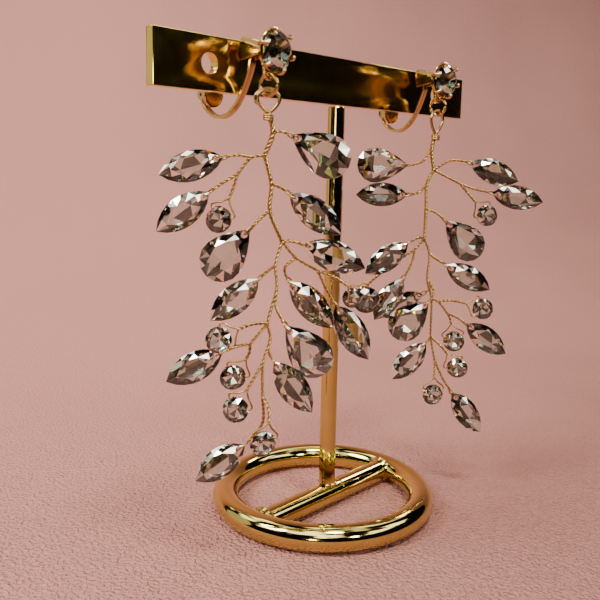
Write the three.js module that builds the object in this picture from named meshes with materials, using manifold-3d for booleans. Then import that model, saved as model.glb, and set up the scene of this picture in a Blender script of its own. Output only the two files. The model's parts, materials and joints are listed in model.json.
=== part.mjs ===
// A pair of clip-on chandelier earrings hanging on a small T-bar jewellery stand.
// Millimetres. X runs along the stand's bar, -Y is the side that the stones face, +Z is up.
// The origin is on the pole's axis, on the surface that the stand rests on.

import * as THREE from 'three';
import { mergeVertices } from 'three/addons/utils/BufferGeometryUtils.js';
import { ConvexGeometry } from 'three/addons/geometries/ConvexGeometry.js';
import Module from 'manifold-3d';

const wasm = await Module();
wasm.setup();

const gap = 0.3;                    // clearance between pieces that touch or run in each other

// Stand
const standHeight = 122.6;
const barLength = 118;
const barHeight = 12;
const barThickness = 2.4;
const barHoleDiameter = 4.5;
const barHoleInset = 15;            // hole centre to the end of the bar
const poleDiameter = 4.5;
const ringDiameter = 62;            // outside of the base ring
const ringRod = 7;
const ringOffset = 1.5;             // the ring's middle stands behind the pole and the cross rod
const crossbarRod = 6.3;

// Clip, measured in front of the bar's face and below its top edge
const hingeForward = 3.4;
const hingeBelow = 1.2;
const chatonForward = 12.1;         // girdle of the top stone
const chatonBelow = 3.45;
const chatonDiameter = 9.3;         // outside of the cup
const chatonStoneDiameter = 8.4;
const cupDepth = 2.8;
const cupWall = 0.42;
const clawWidth = 0.9;
const plateThickness = 0.8;
const lugThickness = 0.6;
const lugRadius = 1.35;
const pinDiameter = 1;
const tabHoleDiameter = 2.2;
const tabRim = 0.5;
const tabDrop = 4.45;               // middle of the top stone to the middle of the tab's hole

// Clip arm, a bent strip from the hinge pin to the rolled eye that holds the rear pad
const armWidth = 1.8;
const armThickness = 0.8;
const armReach = 14.9;
const armDrop = 15.7;
const armEyeDrop = 10.4;            // hinge pin down to the rolled eye
const rollRadius = 1.4;
const padDiameter = 5.6;
const padThickness = 0.9;
const padOffset = 2.9;              // rolled eye to the pad's face
const padTilt = 5;                  // degrees that the pad looks down

// Jump ring and hanging spray
const jumpRingDiameter = 5.4;
const jumpRingWire = 0.8;
const eyeWire = 0.8;
const wireDiameter = 0.42;          // one strand; each twig is a twisted pair
const dropLength = 86;
const sprayTurn = -46.5;            // degrees that each flat spray is turned from the bar

// Stones
const marquiseLength = 15;
const marquiseWidth = 7;
const pearLength = 14.5;
const pearWidth = 10;
const roundDiameter = 6.2;
const crownHeight = 1.3;
const girdleHeight = 0.6;
const pavilionDepth = 1.9;
const tableShare = 0.58;
const tipHoleDiameter = 1.5;
const tipHoleInset = 1.7;
const rimHoleDiameter = 1.3;
const rimHoleInset = 1.45;

const wireSides = 5;
const mergeTolerance = 0.04;        // slivers that a joined solid may lose
const degree = Math.PI / 180;
const up = new THREE.Vector3(0, 0, 1);

// Materials
const polishedGold = new THREE.MeshStandardMaterial({ color: 0xd9a441, roughness: 0.12, metalness: 1 });
const roseGold = new THREE.MeshStandardMaterial({ color: 0xdfa878, roughness: 0.22, metalness: 1 });
const goldWire = new THREE.MeshStandardMaterial({ color: 0xcf9a5b, roughness: 0.3, metalness: 1 });
const crystal = new THREE.MeshStandardMaterial({ color: 0xe8e2de, roughness: 0.03, metalness: 0 });

// Layout of the sprays. Forks and stones are places on the spray's flat plane, as shares of the
// drop length: side is to the right seen from the front, down is below the wire eye, and front is
// towards the viewer. A stone's place is its middle, turn is the way it points, in degrees from
// straight down towards its right, and lean rolls it about its own length.
const leftSpray = {
  forks: {
    eye: { side: 0, down: 0 },
    a: { side: 0.012, down: 0.050 },
    b: { side: -0.008, down: 0.109 },
    b1: { side: -0.042, down: 0.115 },
    b2: { side: -0.078, down: 0.159 },
    c: { side: 0.010, down: 0.183 },
    d: { side: 0.007, down: 0.250 },
    e: { side: 0.040, down: 0.331 },
    e1: { side: 0.077, down: 0.372 },
    e2: { side: 0.135, down: 0.406 },
    f: { side: 0.024, down: 0.394 },
    g: { side: 0.028, down: 0.453 },
    h: { side: 0.006, down: 0.550 },
    h1: { side: -0.041, down: 0.608 },
    i: { side: 0.013, down: 0.592 },
    j: { side: -0.005, down: 0.657 },
    k: { side: -0.006, down: 0.749 },
  },
  stems: [
    { wires: 6, through: ['eye', 'a', 'b'] },
    { wires: 4, through: ['b', 'c', 'd', 'e'] },
    { wires: 2, through: ['e', 'f', 'g', 'h', 'i', 'j', 'k'] },
    { wires: 2, through: ['b', 'b1', 'b2'] },
    { wires: 2, through: ['e', 'e1', 'e2'] },
    { wires: 2, through: ['h', 'h1'] },
  ],
  stones: [
    { kind: 'pear', fork: 'a', side: 0.134, down: 0.097, turn: 62, lean: -14, front: 0.010 },
    { kind: 'marquise', fork: 'b1', side: -0.198, down: 0.140, turn: -74, lean: 12, front: 0 },
    { kind: 'marquise', fork: 'b2', side: -0.219, down: 0.258, turn: -53, lean: -10, front: 0.006 },
    { kind: 'round', fork: 'b2', side: -0.127, down: 0.277, turn: -26, lean: 18, front: -0.008 },
    { kind: 'pear', fork: 'd', side: -0.100, down: 0.362, turn: -42, lean: 8, front: 0.012 },
    { kind: 'marquise', fork: 'c', side: 0.127, down: 0.258, turn: 53, lean: 10, front: -0.006 },
    { kind: 'marquise', fork: 'e', side: 0.177, down: 0.366, turn: 70, lean: -12, front: 0.012 },
    { kind: 'marquise', fork: 'f', side: -0.086, down: 0.493, turn: -48, lean: -8, front: -0.030 },
    { kind: 'round', fork: 'h', side: -0.122, down: 0.592, turn: -60, lean: 14, front: 0.024 },
    { kind: 'marquise', fork: 'h1', side: -0.190, down: 0.675, turn: -61, lean: 9, front: -0.006 },
    { kind: 'round', fork: 'h1', side: -0.087, down: 0.703, turn: -35, lean: -15, front: -0.012 },
    { kind: 'round', fork: 'j', side: -0.077, down: 0.786, turn: -29, lean: 12, front: 0.010 },
    { kind: 'marquise', fork: 'k', side: -0.121, down: 0.948, turn: -52, lean: 14, front: -0.016 },
    { kind: 'round', fork: 'k', side: -0.001, down: 0.871, turn: -14, lean: -24, front: 0.038 },
    { kind: 'marquise', fork: 'i', side: 0.076, down: 0.724, turn: 37, lean: -10, front: 0 },
    { kind: 'pear', fork: 'g', side: 0.108, down: 0.613, turn: 40, lean: 6, front: 0.026 },
    { kind: 'marquise', fork: 'e1', side: 0.122, down: 0.503, turn: 44, lean: 10, front: -0.030 },
    { kind: 'marquise', fork: 'e2', side: 0.230, down: 0.570, turn: 32, lean: -16, front: 0 },
    { kind: 'round', fork: 'e2', side: 0.262, down: 0.476, turn: 53, lean: 12, front: 0.030 },
  ],
};
const rightSpray = {
  forks: {
    eye: { side: 0, down: 0 },
    a: { side: -0.010, down: 0.049 },
    b: { side: -0.001, down: 0.120 },
    b1: { side: 0.088, down: 0.163 },
    c: { side: -0.021, down: 0.165 },
    d: { side: -0.021, down: 0.248 },
    e: { side: -0.022, down: 0.350 },
    e1: { side: -0.052, down: 0.384 },
    e2: { side: -0.145, down: 0.450 },
    f: { side: -0.003, down: 0.400 },
    g: { side: -0.006, down: 0.487 },
    h: { side: 0.011, down: 0.554 },
    h1: { side: 0.032, down: 0.561 },
    h2: { side: 0.068, down: 0.603 },
    i: { side: 0.015, down: 0.686 },
    j: { side: 0.031, down: 0.765 },
  },
  stems: [
    { wires: 6, through: ['eye', 'a', 'b'] },
    { wires: 4, through: ['b', 'c', 'd', 'e'] },
    { wires: 2, through: ['e', 'f', 'g', 'h', 'i', 'j'] },
    { wires: 2, through: ['b', 'b1'] },
    { wires: 2, through: ['e', 'e1', 'e2'] },
    { wires: 2, through: ['h', 'h1', 'h2'] },
  ],
  stones: [
    { kind: 'pear', fork: 'a', side: -0.172, down: 0.107, turn: -89, lean: 10, front: 0.012 },
    { kind: 'marquise', fork: 'b', side: 0.200, down: 0.123, turn: 70, lean: -10, front: 0 },
    { kind: 'marquise', fork: 'b1', side: 0.280, down: 0.205, turn: 81, lean: 14, front: 0.008 },
    { kind: 'round', fork: 'b1', side: 0.184, down: 0.267, turn: 43, lean: -12, front: 0 },
    { kind: 'pear', fork: 'd', side: 0.104, down: 0.345, turn: 46, lean: -8, front: 0.012 },
    { kind: 'marquise', fork: 'c', side: -0.169, down: 0.204, turn: -89, lean: -12, front: -0.010 },
    { kind: 'marquise', fork: 'e', side: -0.151, down: 0.414, turn: -53, lean: 10, front: 0.040 },
    { kind: 'marquise', fork: 'f', side: 0.131, down: 0.477, turn: 62, lean: 9, front: 0 },
    { kind: 'round', fork: 'h1', side: 0.185, down: 0.583, turn: 73, lean: -14, front: 0.008 },
    { kind: 'marquise', fork: 'h2', side: 0.204, down: 0.689, turn: 54, lean: -12, front: 0 },
    { kind: 'round', fork: 'h2', side: 0.096, down: 0.701, turn: 11, lean: 10, front: -0.008 },
    { kind: 'round', fork: 'i', side: 0.109, down: 0.791, turn: 37, lean: 14, front: 0.006 },
    { kind: 'marquise', fork: 'j', side: 0.149, down: 0.952, turn: 37, lean: -16, front: 0 },
    { kind: 'round', fork: 'j', side: 0.029, down: 0.888, turn: -3, lean: -10, front: 0.006 },
    { kind: 'marquise', fork: 'i', side: -0.057, down: 0.772, turn: -41, lean: 12, front: 0 },
    { kind: 'pear', fork: 'g', side: -0.062, down: 0.619, turn: -44, lean: 8, front: 0.030 },
    { kind: 'marquise', fork: 'g', side: -0.087, down: 0.585, turn: -62, lean: -6, front: -0.052 },
    { kind: 'marquise', fork: 'e1', side: -0.134, down: 0.559, turn: -33, lean: -8, front: -0.008 },
    { kind: 'round', fork: 'e2', side: -0.257, down: 0.555, turn: -47, lean: -12, front: 0 },
  ],
};

// The two earrings: place along the bar as a share of its length, turn of the clip on the bar,
// turn of the jump ring in the tab, turn, width and height of the wire eye, and how far the eye
// leans aside.
const earrings = [
  {
    name: 'left', along: -0.30, turn: 0, ringTurn: 10,
    eyeTurn: -33, eyeWidth: 5, eyeHeight: 4.7, eyeLean: 0, spray: leftSpray,
  },
  {
    name: 'right', along: 0.28, turn: -9, ringTurn: 16,
    eyeTurn: 0, eyeWidth: 4.8, eyeHeight: 6.3, eyeLean: -0.5, spray: rightSpray,
  },
];

// The arm's middle line from the hinge pin, as shares of its reach and of its drop.
const armLine = [
  { back: -0.067, down: 0.04 },
  { back: -0.077, down: 0.165 },
  { back: -0.055, down: 0.30 },
  { back: 0.05, down: 0.52 },
  { back: 0.16, down: 0.70 },
  { back: 0.31, down: 0.866 },
  { back: 0.45, down: 0.955 },
  { back: 0.62, down: 1 },
  { back: 0.83, down: 0.955 },
  { back: 1, down: 0.84 },
  { back: 1.07, down: 0.70 },
];

// Places that follow from the sizes
const barFace = -barThickness / 2;
const pinY = barFace - hingeForward;
const pinZ = standHeight - hingeBelow;
const chatonY = barFace - chatonForward;
const chatonZ = standHeight - chatonBelow;
const plateFront = chatonY + cupDepth - plateThickness;
const ringY = plateFront + plateThickness / 2;
const tabHoleZ = chatonZ - tabDrop;
const jumpRingRadius = (jumpRingDiameter - jumpRingWire) / 2;
const ringTopZ = tabHoleZ - tabHoleDiameter / 2 + 1.5 * gap + jumpRingWire / 2;
const jumpRingZ = ringTopZ - jumpRingRadius;
const eyeTopZ = jumpRingZ - jumpRingRadius + jumpRingWire / 2 + 1.2 * gap + eyeWire / 2;
const armEyeY = pinY + armReach;
const armEyeZ = pinZ - armEyeDrop;

// A geometry as one closed solid with its faces pointing out.
function solid(geometry) {
  let bare = new THREE.BufferGeometry();
  bare.setAttribute('position', geometry.getAttribute('position').clone());
  if (geometry.index) bare.setIndex(geometry.index.clone());
  bare = mergeVertices(bare, 1e-4);
  const points = bare.getAttribute('position');
  const corner = (i) => new THREE.Vector3().fromBufferAttribute(points, i);
  const triangles = [];
  let volume = 0;
  for (let i = 0; i < bare.index.count; i += 3) {
    const [a, b, c] = [0, 1, 2].map((k) => bare.index.getX(i + k));
    if (a === b || b === c || c === a) continue;
    triangles.push(a, b, c);
    volume += corner(a).dot(corner(b).cross(corner(c)));
  }
  if (volume < 0) triangles.reverse();
  return new wasm.Manifold(new wasm.Mesh({
    numProp: 3,
    vertProperties: Float32Array.from(points.array),
    triVerts: Uint32Array.from(triangles),
  }));
}

// Several parts as one solid, without the sealed pockets left between crossing wires.
function join(...parts) {
  const solids = parts.map((part) => (part.isBufferGeometry ? solid(part) : part));
  const whole = solids.reduce((all, part) => all.add(part)).asOriginal().simplify(mergeTolerance);
  const shells = whole.decompose().filter((shell) => shell.volume() > 0);
  return shells.reduce((all, shell) => all.add(shell));
}

// Radius of the corners of a many-sided rod or bore whose flat sides lie at a radius.
function cornerRadius(radius, sides) {
  return radius / Math.cos(Math.PI / sides);
}

// A named mesh of a solid, placed as the solid is.
function piece(name, body, material) {
  const { vertProperties, triVerts } = body.getMesh();
  const geometry = new THREE.BufferGeometry();
  geometry.setAttribute('position', new THREE.BufferAttribute(vertProperties, 3));
  geometry.setIndex(new THREE.BufferAttribute(triVerts, 1));
  geometry.computeVertexNormals();
  const mesh = new THREE.Mesh(geometry, material);
  mesh.name = name;
  return mesh;
}

// A box between two corners.
function block(low, high) {
  const size = high.map((value, i) => value - low[i]);
  const geometry = new THREE.BoxGeometry(...size);
  return geometry.translate(low[0] + size[0] / 2, low[1] + size[1] / 2, low[2] + size[2] / 2);
}

// A rod along X, Y or Z, turned so that a flat side lies underneath.
function rod(axis, radius, length, sides, [x, y, z]) {
  const geometry = new THREE.CylinderGeometry(radius, radius, length, sides).rotateY(Math.PI / sides);
  if (axis === 'x') geometry.rotateZ(Math.PI / 2);
  if (axis === 'z') geometry.rotateX(Math.PI / 2);
  return geometry.translate(x, y, z);
}

function extrude(shape, depth, curveSegments = 12) {
  return new THREE.ExtrudeGeometry(shape, { depth, bevelEnabled: false, curveSegments });
}

// A flat plate in the plane across X, from a shape drawn in Y and Z.
function plateAcrossX(shape, width, segments = 12) {
  const geometry = extrude(shape, width, segments);
  const toYZ = new THREE.Matrix4().set(0, 0, 1, -width / 2, 1, 0, 0, 0, 0, 1, 0, 0, 0, 0, 0, 1);
  return geometry.applyMatrix4(toYZ);
}

function wireTube(points, diameter, steps) {
  const section = new THREE.Shape();
  for (let i = 0; i < wireSides; i += 1) {
    const angle = 2 * Math.PI * i / wireSides;
    const [x, y] = [Math.cos(angle) * diameter / 2, Math.sin(angle) * diameter / 2];
    if (i === 0) section.moveTo(x, y);
    else section.lineTo(x, y);
  }
  section.closePath();
  const extrudePath = new THREE.CatmullRomCurve3(points);
  return new THREE.ExtrudeGeometry(section, { steps, extrudePath, bevelEnabled: false });
}

function wireLoop(points, diameter, steps, sides = wireSides) {
  const path = new THREE.CatmullRomCurve3(points, true);
  return new THREE.TubeGeometry(path, steps, diameter / 2, sides, true);
}

// Stand: a round rod ring with a cross rod soldered in it, a pole on the rod's middle and a bar.
function standBase() {
  const sides = 12;
  const centre = ringDiameter / 2 - ringRod / 2;
  const radius = cornerRadius(ringRod / 2, sides);
  const section = [];
  for (let i = 0; i <= sides; i += 1) {
    const angle = 2 * Math.PI * (i % sides + 0.5) / sides - Math.PI / 2;
    section.push(new THREE.Vector2(centre + radius * Math.cos(angle), radius * Math.sin(angle)));
  }
  const ring = new THREE.LatheGeometry(section, 40).rotateX(Math.PI / 2);
  ring.translate(0, ringOffset, ringRod / 2);
  const crossbar = rod('x', cornerRadius(crossbarRod / 2, 16), 2 * centre, 16, [0, 0, crossbarRod / 2]);
  return join(ring, crossbar);
}

function standPole() {
  const seat = crossbarRod / 2;
  const top = standHeight - barHeight - gap;
  const pole = rod('z', poleDiameter / 2, top - seat, 20, [0, 0, (top + seat) / 2]);
  const saddle = rod('x', cornerRadius(cornerRadius(seat, 16) + gap, 24), 2 * poleDiameter, 24, [0, 0, seat]);
  return solid(pole).subtract(solid(saddle));
}

function standBar() {
  const shape = new THREE.Shape();
  shape.moveTo(-barLength / 2, -barHeight / 2);
  shape.lineTo(barLength / 2, -barHeight / 2);
  shape.lineTo(barLength / 2, barHeight / 2);
  shape.lineTo(-barLength / 2, barHeight / 2);
  shape.closePath();
  for (const side of [-1, 1]) {
    const hole = new THREE.Path();
    hole.absarc(side * (barLength / 2 - barHoleInset), 0, barHoleDiameter / 2, 0, 2 * Math.PI, true);
    shape.holes.push(hole);
  }
  const bar = extrude(shape, barThickness, 12);
  return solid(bar.rotateX(Math.PI / 2).translate(0, barThickness / 2, standHeight - barHeight / 2));
}

// Setting: a cup with six claws, a hanging tab and two hinge lugs with their pin, soldered together.
function setting() {
  const rim = chatonDiameter / 2;
  const inner = rim - cupWall;
  const back = cupDepth;
  const floor = cupDepth - plateThickness;
  const plateRadius = 0.68 * rim;
  const cup = new THREE.LatheGeometry([
    new THREE.Vector2(0, back),
    new THREE.Vector2(plateRadius, back),
    new THREE.Vector2(plateRadius, floor),
    new THREE.Vector2(rim, 2 * gap),
    new THREE.Vector2(rim, 1.2 * gap),
    new THREE.Vector2(inner, 1.2 * gap),
    new THREE.Vector2(inner, 0.7),
    new THREE.Vector2(0.6 * plateRadius, floor),
    new THREE.Vector2(0, floor),
  ], 20).translate(0, chatonY, chatonZ);
  const stoneRadius = chatonStoneDiameter / 2;
  const clawShape = new THREE.Shape();
  clawShape.moveTo(rim - 0.1, 0.8);
  clawShape.lineTo(rim + 0.25, 0.6);
  clawShape.lineTo(rim + 0.2, -girdleHeight / 2 - 0.4);
  clawShape.lineTo(stoneRadius - 0.1, -girdleHeight / 2 - 1.15);
  clawShape.lineTo(stoneRadius - 0.4, -girdleHeight / 2 - 0.85);
  clawShape.lineTo(rim - 0.1, -girdleHeight / 2 - 0.3);
  clawShape.closePath();
  const claws = [];
  for (let i = 0; i < 6; i += 1) {
    const claw = extrude(clawShape, clawWidth);
    claw.translate(0, 0, -clawWidth / 2).rotateY(-(15 + 60 * i) * degree);
    claws.push(claw.translate(0, chatonY, chatonZ));
  }
  const tabRadius = tabHoleDiameter / 2 + tabRim;
  const tabShape = new THREE.Shape();
  tabShape.moveTo(-plateRadius * 0.6, 0.5 * tabDrop);
  tabShape.lineTo(-tabRadius, 0);
  tabShape.absarc(0, 0, tabRadius, Math.PI, 2 * Math.PI, false);
  tabShape.lineTo(plateRadius * 0.6, 0.5 * tabDrop);
  tabShape.closePath();
  const tabHole = new THREE.Path();
  tabHole.absarc(0, 0, tabHoleDiameter / 2, 0, 2 * Math.PI, true);
  tabShape.holes.push(tabHole);
  const tab = extrude(tabShape, plateThickness, 7);
  tab.rotateX(Math.PI / 2).translate(0, plateFront + plateThickness, tabHoleZ);
  const lugShape = new THREE.Shape();
  const lugBottom = pinZ - 3.6 * lugRadius + lugRadius;
  lugShape.moveTo(plateFront + plateThickness / 2, lugBottom + 1);
  lugShape.lineTo(pinY + lugRadius * 0.6, lugBottom);
  lugShape.lineTo(pinY + lugRadius, pinZ);
  lugShape.absarc(pinY, pinZ, lugRadius, 0, Math.PI / 2, false);
  lugShape.lineTo(plateFront + plateThickness / 2, chatonZ + plateRadius * 0.6);
  lugShape.closePath();
  const lugs = [-1, 1].map((side) => plateAcrossX(lugShape, lugThickness, 6)
    .translate(side * (armWidth / 2 + gap + lugThickness / 2), 0, 0));
  const pinLength = armWidth + 2 * (gap + lugThickness);
  const pin = rod('x', pinDiameter / 2, pinLength, 10, [0, pinY, pinZ]);
  return join(cup, ...claws, tab, ...lugs, pin);
}

function clipArm() {
  const middle = new THREE.SplineCurve(armLine.map(({ back, down }) => (
    new THREE.Vector2(pinY + back * armReach, pinZ - down * armDrop))));
  const steps = 22;
  const edge = (side) => {
    const points = [];
    for (let i = 0; i <= steps; i += 1) {
      const at = middle.getPoint(i / steps);
      const along = middle.getTangent(i / steps);
      const out = new THREE.Vector2(-along.y, along.x).multiplyScalar(side * armThickness / 2);
      points.push(at.clone().add(out));
    }
    return points;
  };
  const strip = plateAcrossX(new THREE.Shape([...edge(1), ...edge(-1).reverse()]), armWidth);
  const knuckleRadius = pinDiameter / 2 + gap + 0.5;
  const knuckle = rod('x', knuckleRadius, armWidth, 16, [0, pinY, pinZ]);
  const roll = rod('x', rollRadius, armWidth, 16, [0, armEyeY, armEyeZ]);
  const bore = cornerRadius(pinDiameter / 2 + gap, 12);
  return join(strip, knuckle, roll)
    .subtract(solid(rod('x', bore, 2 * armWidth, 12, [0, pinY, pinZ])))
    .subtract(solid(rod('x', bore, 2 * armWidth, 12, [0, armEyeY, armEyeZ])));
}

// Rear pad: a dished disc with two ears beside the arm's rolled eye and a pin through it.
function clipPad() {
  const radius = padDiameter / 2;
  const face = -padOffset;
  const rollGap = rollRadius + gap;
  const disc = new THREE.LatheGeometry([
    new THREE.Vector2(0, face + 0.35),
    new THREE.Vector2(radius - 0.6, face + 0.35),
    new THREE.Vector2(radius - 0.4, face),
    new THREE.Vector2(radius, face + 0.2),
    new THREE.Vector2(radius, face + padThickness),
    new THREE.Vector2(radius * 0.55, -rollGap),
    new THREE.Vector2(0, -rollGap),
  ], 16);
  const earX = armWidth / 2 + gap + lugThickness / 2;
  const ears = [-1, 1].map((side) => {
    const boss = rod('x', rollRadius - 0.1, lugThickness, 12, [side * earX, 0, 0]);
    const neck = block([side * earX - lugThickness / 2, face + padThickness - 0.2, -0.9],
      [side * earX + lugThickness / 2, 0, 0.9]);
    return join(boss, neck);
  });
  const pin = rod('x', pinDiameter / 2, armWidth + 2 * (gap + lugThickness), 10, [0, 0, 0]);
  return join(disc, ...ears, pin).rotate([padTilt, 0, 0]).translate([0, armEyeY, armEyeZ]);
}

// Outline of a stone from its wired end, as across and along places round its girdle.
function outline(kind, points) {
  const ring = [];
  if (kind === 'round') {
    for (let i = 0; i < points; i += 1) {
      const angle = 2 * Math.PI * i / points;
      ring.push([-Math.sin(angle) * roundDiameter / 2, (1 - Math.cos(angle)) * roundDiameter / 2]);
    }
    return ring;
  }
  const half = points / 2;
  const side = [];
  for (let i = 1; i < half; i += 1) {
    const share = i / half;
    if (kind === 'marquise') {
      const bow = (marquiseWidth ** 2 + marquiseLength ** 2) / (4 * marquiseWidth);
      const along = (share - 0.5) * marquiseLength;
      side.push([Math.sqrt(bow ** 2 - along ** 2) - bow + marquiseWidth / 2, along + marquiseLength / 2]);
    } else {
      const round = pearWidth / 2;
      const neck = pearLength - round;
      const bend = 0.55;
      if (share < bend) {
        const t = share / bend;
        side.push([round * (1 - (1 - t) ** 1.7), neck * t]);
      } else {
        const angle = (share - bend) / (1 - bend) * Math.PI / 2;
        side.push([round * Math.cos(angle), neck + round * Math.sin(angle)]);
      }
    }
  }
  const length = kind === 'marquise' ? marquiseLength : pearLength;
  return [[0, 0], ...side, [0, length], ...side.map(([x, y]) => [-x, y]).reverse()];
}

function stoneLength(kind) {
  return { marquise: marquiseLength, pear: pearLength, round: roundDiameter }[kind];
}

// A cut stone along Y from its wired end, with its table up: table, crown, girdle and pavilion.
function cutStone(kind) {
  const middle = stoneLength(kind) / 2;
  const girdle = outline(kind, 12);
  const inner = (ring, share, z) => ring.map(([x, y]) => (
    new THREE.Vector3(x * share, middle + (y - middle) * share, z)));
  const top = girdleHeight / 2;
  const points = [
    ...inner(girdle, 1, top),
    ...inner(girdle, 1, -top),
    ...inner(outline(kind, 8), tableShare, top + crownHeight),
    ...inner(outline(kind, 6), 0.6, -top - 0.62 * pavilionDepth),
  ];
  if (kind === 'round') points.push(new THREE.Vector3(0, middle, -top - pavilionDepth));
  else points.push(...[0.7, 1.35].map((share) => new THREE.Vector3(0, middle * share, -top - pavilionDepth)));
  const hole = kind === 'round'
    ? rod('x', cornerRadius(rimHoleDiameter / 2, 6), 2 * roundDiameter, 6, [0, rimHoleInset, 0])
    : rod('z', cornerRadius(tipHoleDiameter / 2, 6), 4 * marquiseWidth, 6, [0, tipHoleInset, 0]);
  return solid(new ConvexGeometry(points)).subtract(solid(hole));
}

// The top stone, with its table towards -Y.
function topStone() {
  const radius = chatonStoneDiameter / 2;
  const depth = cupDepth - plateThickness - gap;
  const ring = (count, share, y, turn = 0) => Array.from({ length: count }, (_, i) => {
    const angle = 2 * Math.PI * (i + turn) / count;
    return new THREE.Vector3(Math.cos(angle) * radius * share, y, Math.sin(angle) * radius * share);
  });
  const points = [
    ...ring(16, 1, -girdleHeight / 2), ...ring(16, 1, girdleHeight / 2 - gap),
    ...ring(8, 0.8, -girdleHeight / 2 - 0.75, 0.5), ...ring(8, tableShare, -girdleHeight / 2 - crownHeight),
    ...ring(8, 0.3, depth - 0.1), new THREE.Vector3(0, depth, 0),
  ];
  return solid(new ConvexGeometry(points)).translate([0, chatonY, chatonZ]);
}

// Where the two strands of a twig come together, outside the stone's wired end.
const tipReach = 0.9;
const rimReach = 1.9;

// The loop of wire through a stone's hole, in the stone's own frame.
function stoneLoop(kind) {
  if (kind === 'round') {
    const end = Math.sqrt(rimHoleInset * (roundDiameter - rimHoleInset)) + 0.1;
    const side = [[end + 0.05, rimHoleInset], [end + 0.4, 0.5 * rimHoleInset], [0.45 * end, -0.4 * rimReach]];
    const points = [[0, rimHoleInset], ...side, [0, -rimReach], ...side.map(([x, y]) => [-x, y]).reverse()];
    return wireLoop(points.map(([x, y]) => new THREE.Vector3(x, y, 0)), wireDiameter, 10);
  }
  const middle = (tipHoleInset - tipReach) / 2;
  const reach = (tipHoleInset + tipReach) / 2;
  const boxy = (value) => Math.sign(value) * Math.abs(value) ** 0.65;
  const points = Array.from({ length: 10 }, (_, i) => {
    const angle = 2 * Math.PI * i / 10;
    return new THREE.Vector3(0, middle + reach * boxy(Math.cos(angle)), 1.65 * boxy(Math.sin(angle)) - 0.1);
  });
  return wireLoop(points, wireDiameter, 8);
}

function earring(row) {
  const { name, along, turn, ringTurn, eyeTurn, eyeWidth, eyeHeight, eyeLean, spray } = row;
  const group = new THREE.Group();
  group.position.x = along * barLength;
  group.rotation.z = turn * degree;
  const named = (label, body, material) => group.add(piece(`${name}_${label}`, body, material));

  named('setting', setting(), roseGold);
  named('top_stone', topStone(), crystal);
  named('clip_arm', clipArm(), roseGold);
  named('clip_pad', clipPad(), roseGold);
  const ring = new THREE.TorusGeometry(jumpRingRadius, jumpRingWire / 2, wireSides, 12)
    .rotateY(Math.PI / 2).rotateZ(ringTurn * degree).translate(0, ringY, jumpRingZ);
  named('jump_ring', solid(ring), roseGold);

  // The spray's own frame: origin at the foot of the wire eye, turned to its flat plane.
  const onEye = (x, z) => new THREE.Vector3(x + z * eyeLean, 0, -z * eyeHeight)
    .applyAxisAngle(up, eyeTurn * degree).add(new THREE.Vector3(0, ringY, eyeTopZ));
  const root = onEye(0, 1);
  const planeTurn = (sprayTurn - turn) * degree;
  const inPlane = (x, y, z) => new THREE.Vector3(x, y, z).applyAxisAngle(up, planeTurn);
  const place = ({ side, down, front = 0 }) => (
    inPlane(side, -front, -down).multiplyScalar(dropLength).add(root));

  const eye = [[0, 0], [0.36, 0.1], [0.5, 0.4], [0.3, 0.78], [0.04, 1]];
  const eyePoints = [...eye, ...eye.slice(1).map(([x, z]) => [-x, z]).reverse()]
    .map(([x, z]) => onEye(x * eyeWidth, z));
  const wires = [solid(wireLoop(eyePoints, eyeWire, 15))];
  for (const { wires: count, through } of spray.stems) {
    const points = through.map((fork) => place(spray.forks[fork]));
    wires.push(solid(wireTube(points, 2 * wireDiameter * Math.sqrt(count / 2), 2 * (points.length - 1))));
  }

  spray.stones.forEach((stoneRow, index) => {
    const { kind, fork, turn: heading, lean } = stoneRow;
    const length = stoneLength(kind);
    const pointing = inPlane(Math.sin(heading * degree), 0, -Math.cos(heading * degree));
    const facing = inPlane(0, -1, 0).applyAxisAngle(pointing, lean * degree);
    const across = new THREE.Vector3().crossVectors(pointing, facing);
    const tip = place(stoneRow).addScaledVector(pointing, -length / 2);
    const frame = new THREE.Matrix4().makeBasis(across, pointing, facing).setPosition(tip);

    const stone = piece(`${name}_${kind}_${String(index + 1).padStart(2, '0')}`, cutStone(kind), crystal);
    stone.applyMatrix4(frame);
    group.add(stone);

    const reach = kind === 'round' ? rimReach : tipReach;
    const meet = tip.clone().addScaledVector(pointing, -reach);
    const start = place(spray.forks[fork]);
    const span = meet.distanceTo(start);
    const bend = meet.clone().addScaledVector(pointing, -span / 2).lerp(start.clone().lerp(meet, 0.5), 0.5);
    wires.push(solid(wireTube([start, bend, meet], 2 * wireDiameter, 3)));
    wires.push(solid(stoneLoop(kind).applyMatrix4(frame)));
  });
  named('spray', join(...wires), goldWire);
  return group;
}

const model = new THREE.Group();
model.add(piece('stand_base', standBase(), polishedGold));
model.add(piece('stand_pole', standPole(), polishedGold));
model.add(piece('stand_bar', standBar(), polishedGold));
earrings.forEach((row) => model.add(earring(row)));

export default model;
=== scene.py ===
import json
import math
import random

import bmesh
import bpy
from mathutils import Matrix, Vector

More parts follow.
